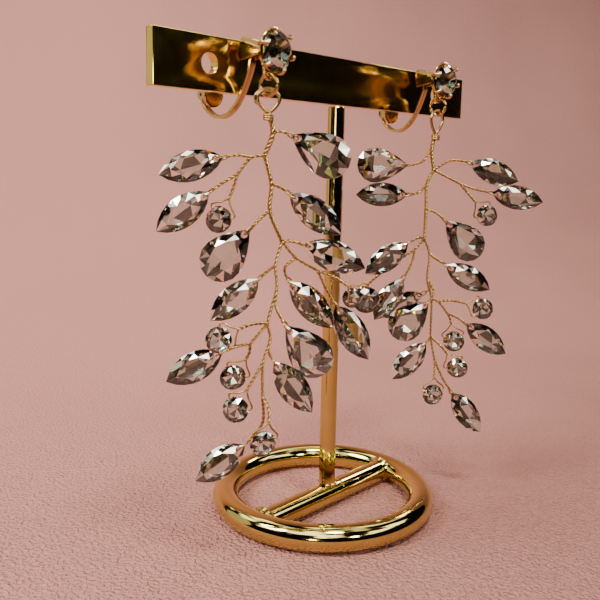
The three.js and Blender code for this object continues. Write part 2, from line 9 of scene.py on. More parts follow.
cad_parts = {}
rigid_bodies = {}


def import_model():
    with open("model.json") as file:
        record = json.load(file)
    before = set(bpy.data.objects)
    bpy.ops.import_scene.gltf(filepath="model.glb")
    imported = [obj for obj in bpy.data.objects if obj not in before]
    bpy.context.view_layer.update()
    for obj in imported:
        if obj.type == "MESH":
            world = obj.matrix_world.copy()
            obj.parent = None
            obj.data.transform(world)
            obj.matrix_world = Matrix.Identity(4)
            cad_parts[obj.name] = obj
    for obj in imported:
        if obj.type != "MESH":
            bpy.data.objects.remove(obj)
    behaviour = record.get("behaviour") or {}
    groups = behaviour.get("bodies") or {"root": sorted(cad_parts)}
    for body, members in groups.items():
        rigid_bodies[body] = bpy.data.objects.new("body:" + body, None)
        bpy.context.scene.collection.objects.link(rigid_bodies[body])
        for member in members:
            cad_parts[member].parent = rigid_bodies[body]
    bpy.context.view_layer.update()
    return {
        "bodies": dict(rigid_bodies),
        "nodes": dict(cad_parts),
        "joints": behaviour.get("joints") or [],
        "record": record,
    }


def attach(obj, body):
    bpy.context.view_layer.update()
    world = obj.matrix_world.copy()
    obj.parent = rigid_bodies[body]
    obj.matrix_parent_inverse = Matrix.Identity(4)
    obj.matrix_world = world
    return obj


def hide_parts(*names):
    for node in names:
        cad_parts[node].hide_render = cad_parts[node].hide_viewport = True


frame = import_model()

# A pair of clip-on chandelier earrings on a small T-bar stand, for a close studio view.
# Sizes here are in millimetres and every mesh is scaled to metres when it is finished.
# X runs along the bar, -Y is the side that the stones face, +Z is up.

metres = 0.001
gap = 0.3  # between pieces that almost touch

# Objects and meshes
def newObject(name, data):
    made = bpy.data.objects.new(name, data)
    bpy.context.scene.collection.objects.link(made)
    return made


def meshOf(shape, name):
    mesh = bpy.data.meshes.new(name)
    shape.to_mesh(mesh)
    shape.free()
    return mesh


def evaluatedMesh(holder):
    graph = bpy.context.evaluated_depsgraph_get()
    return bpy.data.meshes.new_from_object(holder.evaluated_get(graph))


# Camera, with its place in millimetres and the nearest that it sees in metres
view = {
    "place": (-153.34, -132.52, 94.69), "forward": (0.7202, 0.6784, -0.1451),
    "right": (0.6876, -0.7258, 0.0198), "lens": 45.28, "shiftY": -0.0383, "nearest": 0.01,
}


def makeCamera():
    data = bpy.data.cameras.new("photoCamera")
    camera = newObject("photoCamera", data)
    forward = Vector(view["forward"]).normalized()
    right = Vector(view["right"])
    right = (right - forward * right.dot(forward)).normalized()
    turned = Matrix((right, right.cross(forward), -forward)).transposed()
    camera.matrix_world = Matrix.Translation(Vector(view["place"]) * metres) @ turned.to_4x4()
    data.lens = view["lens"]
    data.shift_y = view["shiftY"]
    data.clip_start = view["nearest"]
    bpy.context.scene.camera = camera


makeCamera()
print("camera placed")


# Node sockets that work like numbers
class Flow:
    def __init__(self, tree, socket):
        self.tree = tree
        self.socket = socket

    def node(self, kind, fed, output=0, **settings):
        made = self.tree.nodes.new(kind)
        for name, value in settings.items():
            setattr(made, name, value)
        for key, value in fed.items():
            if isinstance(value, Flow):
                self.tree.links.new(value.socket, made.inputs[key])
            else:
                made.inputs[key].default_value = value
        return Flow(self.tree, made.outputs[output])

    def maths(self, operation, *others):
        kind = "ShaderNodeMath"
        return self.node(kind, dict(enumerate((self, *others))), operation=operation)

    def __add__(self, other):
        return self.maths("ADD", other)

    def __sub__(self, other):
        return self.maths("SUBTRACT", other)

    def __mul__(self, other):
        return self.maths("MULTIPLY", other)

    def __truediv__(self, other):
        return self.maths("DIVIDE", other)


def newMaterial(name):
    material = bpy.data.materials.new(name)
    material.use_nodes = True
    tree = material.node_tree
    shader = tree.nodes["Principled BSDF"]
    place = tree.nodes.new("ShaderNodeTexCoord")
    return material, tree, shader, Flow(tree, place.outputs["Object"])


def noiseAt(place, scale, detail=3.0):
    return place.node("ShaderNodeTexNoise", {"Vector": place, "Scale": scale, "Detail": detail}, "Fac")


def mixColours(share, first, second):
    fed = {0: share, 6: (*first, 1), 7: (*second, 1)}
    return share.node("ShaderNodeMix", fed, 2, data_type="RGBA")


def between(value, low, high):
    return value.node("ShaderNodeMapRange", {"Value": value, "From Min": low, "From Max": high})


def bumpOf(height, strength, distance):
    fed = {"Strength": strength, "Distance": distance, "Height": height}
    return height.node("ShaderNodeBump", fed, "Normal")


# Metals: light and dark colour, roughness, how much it varies, and the height of the fine bumps
finish = {
    "polishedGold": ((0.72, 0.59, 0.19), (0.50, 0.39, 0.10), 0.04, 0.07, 0.000006),
    "barGold": ((0.92, 0.70, 0.18), (0.76, 0.54, 0.10), 0.10, 0.10, 0.000010),
    "roseGold": ((0.82, 0.58, 0.25), (0.42, 0.26, 0.09), 0.08, 0.14, 0.000024),
    "goldWire": ((0.66, 0.46, 0.18), (0.32, 0.19, 0.06), 0.14, 0.16, 0.000012),
}
grain = {
    "broadScale": 90, "fineScale": 2600, "fineDetail": 5, "smearScale": 420, "fineShare": 0.3,
    "bumpStrength": 0.25,
}


def metalMaterial(name):
    light, dark, roughness, wear, bumpHeight = finish[name]
    material, tree, shader, place = newMaterial(name)
    broad = noiseAt(place, grain["broadScale"])
    fine = noiseAt(place, grain["fineScale"], grain["fineDetail"])
    smear = noiseAt(place, grain["smearScale"])
    share = broad * (1 - grain["fineShare"]) + fine * grain["fineShare"]
    tree.links.new(mixColours(share, dark, light).socket, shader.inputs["Base Color"])
    tree.links.new((smear * wear + roughness).socket, shader.inputs["Roughness"])
    tree.links.new(bumpOf(fine, grain["bumpStrength"], bumpHeight).socket, shader.inputs["Normal"])
    shader.inputs["Metallic"].default_value = 1
    return material


# Facets are clear, or carry painted light by a value on each face: dark facets are painted shade and bright
# facets are painted glints. Colours are (low, high) for a slow cloud in the glass, and dark and bright
# facets add how metallic and how strong they are.
crystal = {
    "index": 1.52, "cloudScale": 240, "facetRoughness": 0.03,
    "paintedShadeShare": 0.36, "paintedGlintShare": 0.40, "litFromAboveShare": 0.4, "litFromAboveSlope": 0.7, "flatFrom": 0.97, "seed": 11,
    "clear": ((0.58, 0.74, 0.66), (0.80, 0.94, 0.87)),
    "dark": ((0.006, 0.005, 0.003), (0.04, 0.037, 0.026), 0, 0.82),
    "bright": ((0.90, 0.79, 0.58), (1.0, 1.0, 0.97), 1, 0.9),
}


def crystalMaterial():
    material, tree, shader, place = newMaterial("crystal")
    paintedFacetLight = place.node("ShaderNodeAttribute", {}, "Fac", attribute_name="paintedFacetLight")
    cloud = noiseAt(place, crystal["cloudScale"])
    tree.links.new(mixColours(cloud, *crystal["clear"]).socket, shader.inputs["Base Color"])
    shader.inputs["Roughness"].default_value = 0
    shader.inputs["IOR"].default_value = crystal["index"]
    shader.inputs["Transmission Weight"].default_value = 1
    surface = shader.outputs[0]
    # Dark facets are painted shade and bright facets are painted glints, mixed over the clear glass
    dark = paintedFacetLight.maths("LESS_THAN", crystal["paintedShadeShare"])
    bright = paintedFacetLight.maths("GREATER_THAN", 1 - crystal["paintedGlintShare"])
    for chosen, look in ((dark, crystal["dark"]), (bright, crystal["bright"])):
        low, high, metallic, strength = look
        mirror = tree.nodes.new("ShaderNodeBsdfPrincipled")
        tree.links.new(mixColours(cloud, low, high).socket, mirror.inputs["Base Color"])
        mirror.inputs["Roughness"].default_value = crystal["facetRoughness"]
        mirror.inputs["Metallic"].default_value = metallic
        mirror.inputs["Specular IOR Level"].default_value = 1
        both = tree.nodes.new("ShaderNodeMixShader")
        tree.links.new((chosen * strength).socket, both.inputs[0])
        tree.links.new(surface, both.inputs[1])
        tree.links.new(mirror.outputs[0], both.inputs[2])
        surface = both.outputs[0]
    tree.links.new(surface, tree.nodes["Material Output"].inputs["Surface"])
    return material


materials = {
    "polished_gold": metalMaterial("polishedGold"),
    "rose_gold": metalMaterial("roseGold"),
    "gold_wire": metalMaterial("goldWire"),
    "bar": metalMaterial("barGold"),
    "crystal": crystalMaterial(),
}
print("materials made")


# Shapes, in millimetres
def addRings(shape, rings, closed=False):
    made = [[shape.verts.new(point) for point in ring] for ring in rings]
    count = len(made[0])
    last = len(made) if closed else len(made) - 1
    for i in range(last):
        near, far = made[i], made[(i + 1) % len(made)]
        for j in range(count):
            k = (j + 1) % count
            shape.faces.new((near[j], near[k], far[k], far[j]))
    if not closed:
        shape.faces.new(made[0])
        shape.faces.new(list(reversed(made[-1])))


def addLathe(shape, profile, sides, matrix, closed=False):
    turned = Matrix.Rotation(2 * math.pi / sides, 4, "Z")
    rings = []
    for radius, height in profile:
        point = Vector((max(radius, 0.0005), 0, height))
        ring = []
        for _ in range(sides):
            ring.append(matrix @ point)
            point = turned @ point
        rings.append(ring)
    addRings(shape, rings, closed)


# Tangent, normal and cross direction at each point, with no twist between neighbours
def frames(points, closed=False):
    count = len(points)
    tangents = []
    for i in range(count):
        after = points[(i + 1) % count] if closed or i < count - 1 else points[i]
        before = points[i - 1] if closed or i > 0 else points[i]
        tangents.append((after - before).normalized())
    normal = tangents[0].orthogonal().normalized()
    made = []
    for tangent in tangents:
        normal = (normal - tangent * normal.dot(tangent)).normalized()
        made.append((tangent, normal, tangent.cross(normal)))
    return made


def addTube(shape, points, radius, sides=12, closed=False, ends=None):
    rings = []
    for i, (point, (_, normal, across)) in enumerate(zip(points, frames(points, closed))):
        size = radius * (ends(i / (len(points) - 1)) if ends else 1)
        ring = []
        for j in range(sides):
            angle = 2 * math.pi * j / sides
            ring.append(point + (normal * math.cos(angle) + across * math.sin(angle)) * size)
        rings.append(ring)
    addRings(shape, rings, closed)


# How thick a tube is at a share of its length, so that its ends are round
def roundedEnds(share):
    edge = min(share, 1 - share) / 0.12
    return math.sqrt(max(0.03, 1 - (1 - min(edge, 1)) ** 2))


# A smooth line through the points, centripetal so that it makes no loops of its own
def catmullRom(points, steps, closed=False):
    count = len(points)
    spans = count if closed else count - 1

    def at(index):
        if closed:
            return points[index % count]
        if index < 0:
            return points[0] * 2 - points[1]
        if index >= count:
            return points[-1] * 2 - points[-2]
        return points[index]

    made = []
    for step in range(steps if closed else steps + 1):
        place = step / steps * spans
        i = min(int(place), spans - 1)
        t = place - i
        p0, p1, p2, p3 = at(i - 1), at(i), at(i + 1), at(i + 2)
        d1 = math.sqrt((p2 - p1).length) or 1
        d0 = math.sqrt((p1 - p0).length) or d1
        d2 = math.sqrt((p3 - p2).length) or d1
        t1 = ((p1 - p0) / d0 - (p2 - p0) / (d0 + d1) + (p2 - p1) / d1) * d1
        t2 = ((p2 - p1) / d1 - (p3 - p1) / (d1 + d2) + (p3 - p2) / d2) * d1
        a, b = p1 * 2 - p2 * 2 + t1 + t2, p2 * 3 - p1 * 3 - t1 * 2 - t2
        made.append(((a * t + b) * t + t1) * t + p1)
    return made


# A flat plate with rounded edges. The first outline is its rim and the others are holes.
def addPlate(shape, outlines, thickness, edge, matrix):
    data = bpy.data.curves.new("plateOutline", "CURVE")
    data.dimensions = "2D"
    data.fill_mode = "BOTH"
    data.extrude = thickness / 2 - edge
    data.bevel_depth = edge
    data.bevel_resolution = 2
    data.offset = -edge
    for outline in outlines:
        spline = data.splines.new("POLY")
        spline.points.add(len(outline) - 1)
        for point, (x, y) in zip(spline.points, outline):
            point.co = (x, y, 0, 1)
        spline.use_cyclic_u = True
    holder = newObject("plateOutline", data)
    mesh = evaluatedMesh(holder)
    mesh.transform(matrix)
    shape.from_mesh(mesh)
    bpy.data.objects.remove(holder)
    bpy.data.curves.remove(data)
    bpy.data.meshes.remove(mesh)


def circle(radius, x=0, y=0, count=40):
    turns = [2 * math.pi * i / count for i in range(count)]
    return [(x + radius * math.cos(turn), y + radius * math.sin(turn)) for turn in turns]


def arc(radius, x, y, start, end, count):
    turns = [start + (end - start) * i / count for i in range(count + 1)]
    return [(x + radius * math.cos(turn), y + radius * math.sin(turn)) for turn in turns]


# Matrices that turn a shape drawn along Z to X, or to -Y
alongX = Matrix.Rotation(math.pi / 2, 4, "Y")
alongY = Matrix.Rotation(-math.pi / 2, 4, "X")
# A plate drawn in X and Y that is wanted in Y and Z, or in X and Z
inYZ = Matrix(((0, 0, 1, 0), (1, 0, 0, 0), (0, 1, 0, 0), (0, 0, 0, 1)))
inXZ = Matrix(((1, 0, 0, 0), (0, 0, -1, 0), (0, 1, 0, 0), (0, 0, 0, 1)))


# A pin along X, or a sleeve where it has a bore
def addPin(shape, radius, length, place, bore=0):
    half, edge = length / 2, clip["sleeveEdge"] if bore else radius / 4
    profile = [
        (bore, -half), (radius - edge, -half), (radius, -half + edge), (radius, half - edge),
        (radius - edge, half), (bore, half),
    ]
    addLathe(shape, profile, 40 if bore else 24, Matrix.Translation(place) @ alongX, bore > 0)


def finishPiece(shape, name, slotName, body, nodes, matrix=Matrix.Identity(4), smooth=30, look=None):
    bmesh.ops.remove_doubles(shape, verts=shape.verts, dist=0.001)
    bmesh.ops.recalc_face_normals(shape, faces=shape.faces)
    mesh = meshOf(shape, name)
    mesh.transform(Matrix.Scale(metres, 4) @ matrix)
    finishMesh(mesh, name, slotName, body, nodes, smooth, look)


def finishMesh(mesh, name, slotName, body, nodes, smooth=30, look=None):
    mesh.materials.clear()
    mesh.materials.append(materials[look or slotName])
    if smooth:
        mesh.shade_smooth()
        mesh.set_sharp_from_angle(angle=math.radians(smooth))
    piece = newObject(name, mesh)
    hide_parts(*nodes)
    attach(piece, body)


# Stand
# The groove's place is along the cross rod. Solder is (x, y, radius) of each bead, and the weld is
# the profile of the bead at each end of the cross rod, as (height above the rod, distance along it).
stand = {
    "height": 122.6, "barLength": 118, "barHeight": 12, "barThickness": 2.4, "barEdge": 0.16,
    "holeDiameter": 4.5, "holeInset": 15, "poleDiameter": 4.5, "ringDiameter": 62,
    "ringRod": 7, "ringOffset": 1.5, "ringFlat": 0.12, "crossRod": 6.3, "barCorner": 0.25,
    "grooveAt": 4.6, "grooveWidth": 0.6, "grooveDepth": 0.5, "poleInset": 0.2, "poleEdge": 0.3,
    "poleRings": [10, 40, 80], "weldInset": 0.9, "solderRise": 0.1,
    "solder": [(-1.5, -1.6, 0.7), (0.1, -2.2, 0.75), (1.8, -1.6, 0.5), (-0.3, 2.2, 0.6)],
    "weld": [(0.02, 0), (0.25, 0.5), (0.9, 1.4), (0.5, 2.2), (0, 2.4)],
}


def makeStandBase():
    shape = bmesh.new()
    rodRadius = stand["ringRod"] / 2
    middle = stand["ringDiameter"] / 2 - rodRadius
    flat = stand["ringFlat"]
    profile = []
    for i in range(40):
        angle = 2 * math.pi * i / 40
        height = max(rodRadius * math.sin(angle), -rodRadius + flat)
        profile.append((middle + rodRadius * math.cos(angle), height + rodRadius - flat))
    addLathe(shape, profile, 160, Matrix.Translation((0, stand["ringOffset"], 0)), True)
    half = stand["crossRod"] / 2
    groove, halfWidth = stand["grooveAt"], stand["grooveWidth"] / 2
    narrow = half - stand["grooveDepth"]
    profile = [(half, -middle), (half, 0), (half, groove - halfWidth), (narrow, groove)]
    profile += [(half, groove + halfWidth), (half, middle)]
    rings = []
    for radius, x in profile:
        rings.append([Vector((x, y, half + z)) for y, z in circle(radius, count=48)])
    addRings(shape, rings)
    for x, y, size in stand["solder"]:
        spot = Matrix.Translation((x, y, stand["crossRod"] + stand["solderRise"]))
        bmesh.ops.create_icosphere(shape, subdivisions=3, radius=size, matrix=spot)
    weld = [(half + proud, along) for proud, along in stand["weld"]]
    for side in (-1, 1):
        spot = Matrix.Translation((side * (middle - rodRadius - stand["weldInset"]), 0, half))
        addLathe(shape, weld, 48, spot @ Matrix.Rotation(side * math.pi / 2, 4, "Y"), True)
    for vert in shape.verts:
        vert.co.z = max(vert.co.z, 0)  # no bead reaches below the table
    finishPiece(shape, "standBase", "polished_gold", "stand", ["stand_base"])


# Its foot is hollowed to sit over the round cross rod
def makeStandPole():
    shape = bmesh.new()
    radius = stand["poleDiameter"] / 2
    top = stand["height"] - stand["barHeight"] - gap
    foot = stand["crossRod"] + gap
    edge = stand["poleEdge"]
    heights = [0, edge, *stand["poleRings"], top - foot - edge, top - foot]
    rings = []
    for i, rise in enumerate(heights):
        size = radius - (stand["poleInset"] if i in (0, len(heights) - 1) else 0)
        ring = []
        for x, y in circle(size, count=64):
            drop = 0
            if i < 2:
                seat = foot - gap / 2
                drop = seat / 2 - math.sqrt((seat / 2 + gap / 2) ** 2 - y ** 2) + gap / 2
            ring.append(Vector((x, y, foot + rise - max(drop, 0))))
        rings.append(ring)
    addRings(shape, rings)
    finishPiece(shape, "standPole", "polished_gold", "stand", ["stand_pole"])


def makeStandBar():
    shape = bmesh.new()
    halfLength, halfHeight = stand["barLength"] / 2, stand["barHeight"] / 2
    corner = stand["barCorner"]
    outline = []
    for x, y, quarter in ((1, 1, 0), (-1, 1, 1), (-1, -1, 2), (1, -1, 3)):
        start = quarter * math.pi / 2
        centre = (x * (halfLength - corner), y * (halfHeight - corner))
        outline += arc(corner, *centre, start, start + math.pi / 2, 4)
    holeX = halfLength - stand["holeInset"]
    holes = [circle(stand["holeDiameter"] / 2, side * holeX, 0, 48) for side in (-1, 1)]
    spot = Matrix.Translation((0, 0, stand["height"] - halfHeight)) @ inXZ
    addPlate(shape, [outline, *holes], stand["barThickness"], stand["barEdge"], spot)
    finishPiece(shape, "standBar", "polished_gold", "stand", ["stand_bar"], smooth=25, look="bar")


makeStandBase()
makeStandPole()
makeStandBar()
print("stand made")


# Clips
clip = {
    "hingeForward": 3.4, "hingeBelow": 1.2, "stoneForward": 12.1, "stoneBelow": 3.45,
    "cupDiameter": 9.3, "stoneDiameter": 8.4, "cupDepth": 2.8, "cupWall": 0.42, "plateShare": 0.68,
    "claws": 6, "clawTurn": 15, "clawWidth": 0.9, "plate": 0.8, "lugThickness": 0.6, "lugRadius": 1.35,
    "lugEdge": 0.1, "pinDiameter": 1, "tabHole": 2.2, "tabRim": 0.5, "tabDrop": 4.45, "tabEdge": 0.14,
    "armWidth": 1.8, "armThickness": 0.8, "armReach": 14.9, "armDrop": 15.7, "armEyeDrop": 10.4,
    "armGroove": 0.14, "armEdge": 0.16, "sleeveWall": 0.5, "sleeveEdge": 0.12, "rollRadius": 1.4,
    "padDiameter": 5.6, "padThickness": 0.9, "padOffset": 2.9, "padTilt": 5,
}
# Stems of four and six wires are drawn as three strands, with their spread and thickness in ropes.
# The lines of the eye and of its tail are shares of the eye's width and height.
wire = {
    "ringDiameter": 5.4, "ringWire": 0.8, "eyeWire": 0.8, "strand": 0.42, "endWire": 0.588,
    "pitch": 2.3, "ropePitch": 3.3, "wrapTurns": 3, "wrapSpread": 0.95, "wrapDrop": 0.4, "wrapPitch": 0.462,
    "dropLength": 86, "sprayTurn": -46.5, "tipReach": 0.9, "rimReach": 1.9,
    "loopHeight": 1.65, "loopSquare": 0.65, "stemStep": 0.25, "loopStep": 0.2, "eyeStep": 0.15,
    "ropes": {4: (1.35, 1.15), 6: (1.6, 1.4)},
    "eyeLine": [(0, 0), (0.36, 0.1), (0.5, 0.4), (0.3, 0.78), (0.04, 1)],
    "tailLine": [(0.36, 0.02), (0.05, -0.10), (-0.34, -0.02), (-0.58, 0.24), (-0.60, 0.50), (-0.50, 0.66)],
}
earrings = [
    {
        "name": "left", "along": -0.30, "turn": 0, "ringTurn": 10, "eyeTurn": -33, "eyeWidth": 5,
        "eyeHeight": 4.7, "eyeLean": 0, "tail": True,
    },
    {
        "name": "right", "along": 0.28, "turn": -9, "ringTurn": 16, "eyeTurn": 0, "eyeWidth": 4.8,
        "eyeHeight": 6.3, "eyeLean": -0.5, "tail": False,
    },
]

# Places that follow from the sizes
barFace = -stand["barThickness"] / 2
pinY = barFace - clip["hingeForward"]
pinZ = stand["height"] - clip["hingeBelow"]
stoneY = barFace - clip["stoneForward"]
stoneZ = stand["height"] - clip["stoneBelow"]
plateFront = stoneY + clip["cupDepth"] - clip["plate"]
ringY = plateFront + clip["plate"] / 2
tabHoleZ = stoneZ - clip["tabDrop"]
ringRadius = (wire["ringDiameter"] - wire["ringWire"]) / 2
ringZ = tabHoleZ - clip["tabHole"] / 2 + 1.5 * gap + wire["ringWire"] / 2 - ringRadius
eyeTopZ = ringZ - ringRadius + wire["ringWire"] / 2 + 1.2 * gap + wire["eyeWire"] / 2
armEyeY = pinY + clip["armReach"]
armEyeZ = pinZ - clip["armEyeDrop"]


# Two flat ears, one on each side of the arm, and the pin through them
def addEars(shape, outline, pinPlace):
    reach = clip["armWidth"] / 2 + gap + clip["lugThickness"] / 2
    for x in (-reach, reach):
        spot = Matrix.Translation((x, 0, 0)) @ inYZ
        addPlate(shape, [outline], clip["lugThickness"], clip["lugEdge"], spot)
    length = clip["armWidth"] + 2 * (gap + clip["lugThickness"])
    addPin(shape, clip["pinDiameter"] / 2, length, pinPlace)


def makeSetting(name, place):
    shape = bmesh.new()
    rim = clip["cupDiameter"] / 2
    inner = rim - clip["cupWall"]
    plate = clip["plateShare"] * rim
    floor = clip["cupDepth"] - clip["plate"]
    spot = Matrix.Translation((0, stoneY, stoneZ)) @ alongY
    # The cup from the middle of its back to the middle of its seat, as (radius, depth behind the girdle)
    cup = [
        (0, clip["cupDepth"]), (plate - 0.15, clip["cupDepth"]), (plate, clip["cupDepth"] - 0.15),
        (plate, floor), (plate + 0.6, floor - 0.35), (rim, 2 * gap), (rim, gap + 0.14),
        (rim - 0.08, 1.2 * gap), (inner, 1.2 * gap), (inner, 0.7), (0.6 * plate, floor), (0, floor),
    ]
    addLathe(shape, cup, 72, spot)
    stoneRadius = clip["stoneDiameter"] / 2
    crownTop = -stones["girdle"] / 2
    # A claw from the cup's back, up its side and over the edge of the stone
    path = [
        (plate - 0.1, floor + 0.1), (rim - 0.1, 0.7), (rim + 0.05, -0.2), (rim + 0.02, crownTop - 0.35),
        (stoneRadius, crownTop - 0.85), (stoneRadius - 0.35, crownTop - 1.1),
    ]
    for i in range(clip["claws"]):
        turn = Matrix.Rotation(math.radians(clip["clawTurn"] + 360 / clip["claws"] * i), 4, "Z")
        points = [spot @ turn @ Vector((r, 0, y)) for r, y in path]
        addTube(shape, catmullRom(points, 24), clip["clawWidth"] / 2, 16, ends=roundedEnds)
    tabRadius = clip["tabHole"] / 2 + clip["tabRim"]
    side = plate * 0.6
    half = 0.5 * clip["tabDrop"]
    outline = [(side, half), (-side, half), *arc(tabRadius, 0, 0, math.pi, 2 * math.pi, 24)]
    tabSpot = Matrix.Translation((0, ringY, tabHoleZ)) @ inXZ
    addPlate(shape, [outline, circle(clip["tabHole"] / 2)], clip["plate"], clip["tabEdge"], tabSpot)
    lugBottom = pinZ - 2.6 * clip["lugRadius"]
    lug = [
        (ringY, lugBottom + 1), (pinY + clip["lugRadius"] * 0.6, lugBottom),
        *arc(clip["lugRadius"], pinY, pinZ, 0, math.pi / 2, 10), (ringY, stoneZ + plate * 0.6),
    ]
    addEars(shape, lug, (0, pinY, pinZ))
    finishPiece(shape, name + "Setting", "rose_gold", "stand", [name + "_setting"], place)


# The arm's middle line from the hinge pin, as shares of its reach and of its drop
armLine = [
    (-0.067, 0.04), (-0.077, 0.165), (-0.055, 0.30), (0.05, 0.52), (0.16, 0.70), (0.31, 0.866),
    (0.45, 0.955), (0.62, 1), (0.83, 0.955), (1, 0.84), (1.07, 0.70),
]


# A bent strip with a shallow groove along one face and a sleeve at each end
def makeClipArm(name, place):
    shape = bmesh.new()
    line = [
        Vector((0, pinY + back * clip["armReach"], pinZ - down * clip["armDrop"])) for back, down in armLine
    ]
    points = catmullRom(line, 90)
    halfWidth, halfThickness = clip["armWidth"] / 2, clip["armThickness"] / 2
    groove, edge = clip["armGroove"], clip["armEdge"]
    section = [
        (-halfWidth, -halfThickness + edge), (-halfWidth + edge, -halfThickness),
        (-0.55 * halfWidth, -halfThickness), (-0.35 * halfWidth, -halfThickness + groove),
        (0.35 * halfWidth, -halfThickness + groove), (0.55 * halfWidth, -halfThickness),
        (halfWidth - edge, -halfThickness), (halfWidth, -halfThickness + edge),
        (halfWidth, halfThickness - edge), (halfWidth - edge, halfThickness),
        (-halfWidth + edge, halfThickness), (-halfWidth, halfThickness - edge),
    ]
    rings = []
    for i, point in enumerate(points):
        ahead = points[min(i + 1, len(points) - 1)] - points[max(i - 1, 0)]
        out = Vector((0, ahead.z, -ahead.y)).normalized()
        rings.append([point + Vector((x, 0, 0)) + out * -depth for x, depth in section])
    addRings(shape, rings)
    bore = clip["pinDiameter"] / 2 + gap
    addPin(shape, bore + clip["sleeveWall"], clip["armWidth"], (0, pinY, pinZ), bore)
    addPin(shape, clip["rollRadius"], clip["armWidth"], (0, armEyeY, armEyeZ), bore)
    finishPiece(shape, name + "ClipArm", "rose_gold", name + "_arm", [name + "_clip_arm"], place)


# A dished disc with two ears that hold the arm's rolled end
def makeClipPad(name, place):
    shape = bmesh.new()
    radius = clip["padDiameter"] / 2
    face = -clip["padOffset"]
    behind = -(clip["rollRadius"] + gap)
    disc = [
        (0, face + 0.4), (radius * 0.5, face + 0.34), (radius - 0.6, face + 0.16), (radius - 0.4, face),
        (radius - 0.15, face), (radius, face + 0.2), (radius, face + clip["padThickness"]),
        (radius * 0.55, behind), (0, behind),
    ]
    addLathe(shape, disc, 64, alongY)
    boss = clip["rollRadius"] - 0.1
    neck = face + clip["padThickness"] - 0.2
    outline = [(neck, -0.9), *arc(boss, 0, 0, -math.pi / 2, math.pi / 2, 20), (neck, 0.9)]
    addEars(shape, outline, (0, 0, 0))
    tilt = Matrix.Translation((0, armEyeY, armEyeZ)) @ Matrix.Rotation(math.radians(clip["padTilt"]), 4, "X")
    finishPiece(shape, name + "ClipPad", "rose_gold", name + "_pad", [name + "_clip_pad"], place @ tilt)


def makeJumpRing(name, ringTurn, place):
    shape = bmesh.new()
    turn = Matrix.Rotation(math.radians(ringTurn), 4, "Z")
    points = []
    for i in range(64):
        angle = 2 * math.pi * i / 64
        around = turn @ Vector((0, math.cos(angle), math.sin(angle)))
        points.append(around * ringRadius + Vector((0, ringY, ringZ)))
    addTube(shape, points, wire["ringWire"] / 2, 20, True)
    finishPiece(shape, name + "JumpRing", "rose_gold", "stand", [name + "_jump_ring"], place)


# Cut stones, along Y from the wired end with the table up. Rings are (share of the outline, height).
stones = {
    "length": {"marquise": 15, "pear": 14.5, "round": 6.2}, "marquiseWidth": 7, "pearWidth": 10,
    "crown": 1.3, "girdle": 0.6, "pavilion": 1.9, "table": 0.58, "tipHole": 1.5, "tipInset": 1.7,
    "rimHole": 1.3, "rimInset": 1.45, "crownRing": (0.82, 0.66), "backRing": (0.64, 0.6),
    "keel": [0.7, 1.35], "topCrownRing": (0.84, 0.64), "topBackRing": (0.34, 1.55), "pearBend": 0.55,
}


def outlineOf(kind, count):
    length = stones["length"][kind]
    if kind == "round":
        turns = [2 * math.pi * i / count for i in range(count)]
        return [(-math.sin(turn) * length / 2, (1 - math.cos(turn)) * length / 2) for turn in turns]
    side = []
    for i in range(1, count // 2):
        share = i / (count // 2)
        if kind == "marquise":
            width = stones["marquiseWidth"]
            bow = (width ** 2 + length ** 2) / (4 * width)
            along = (share - 0.5) * length
            side.append((math.sqrt(bow ** 2 - along ** 2) - bow + width / 2, along + length / 2))
        else:
            belly = stones["pearWidth"] / 2
            neck, bend = length - belly, stones["pearBend"]
            if share < bend:
                side.append((belly * (1 - (1 - share / bend) ** 1.7), neck * share / bend))
            else:
                angle = (share - bend) / (1 - bend) * math.pi / 2
                side.append((belly * math.cos(angle), neck + belly * math.sin(angle)))
    return [(0, 0), *side, (0, length), *[(-x, y) for x, y in reversed(side)]]


# Painted light on the facets, partly at random: those that look up are brighter and those that look down
# darker, and those that face straight to the front or back stay clear
def paintFacetLight(mesh, seed, frame):
    chance = random.Random(seed)
    turn = frame.to_3x3()
    paintedFacetLights = mesh.attributes.new("paintedFacetLight", "FLOAT", "FACE")
    for face, paintedFacetLight in zip(mesh.polygons, paintedFacetLights.data):
        upward = 0.5 + crystal["litFromAboveSlope"] * (turn @ face.normal).z
        mixed = (1 - crystal["litFromAboveShare"]) * chance.random() + crystal["litFromAboveShare"] * upward
        paintedFacetLight.value = mixed if abs(face.normal.z) < crystal["flatFrom"] else 0.5


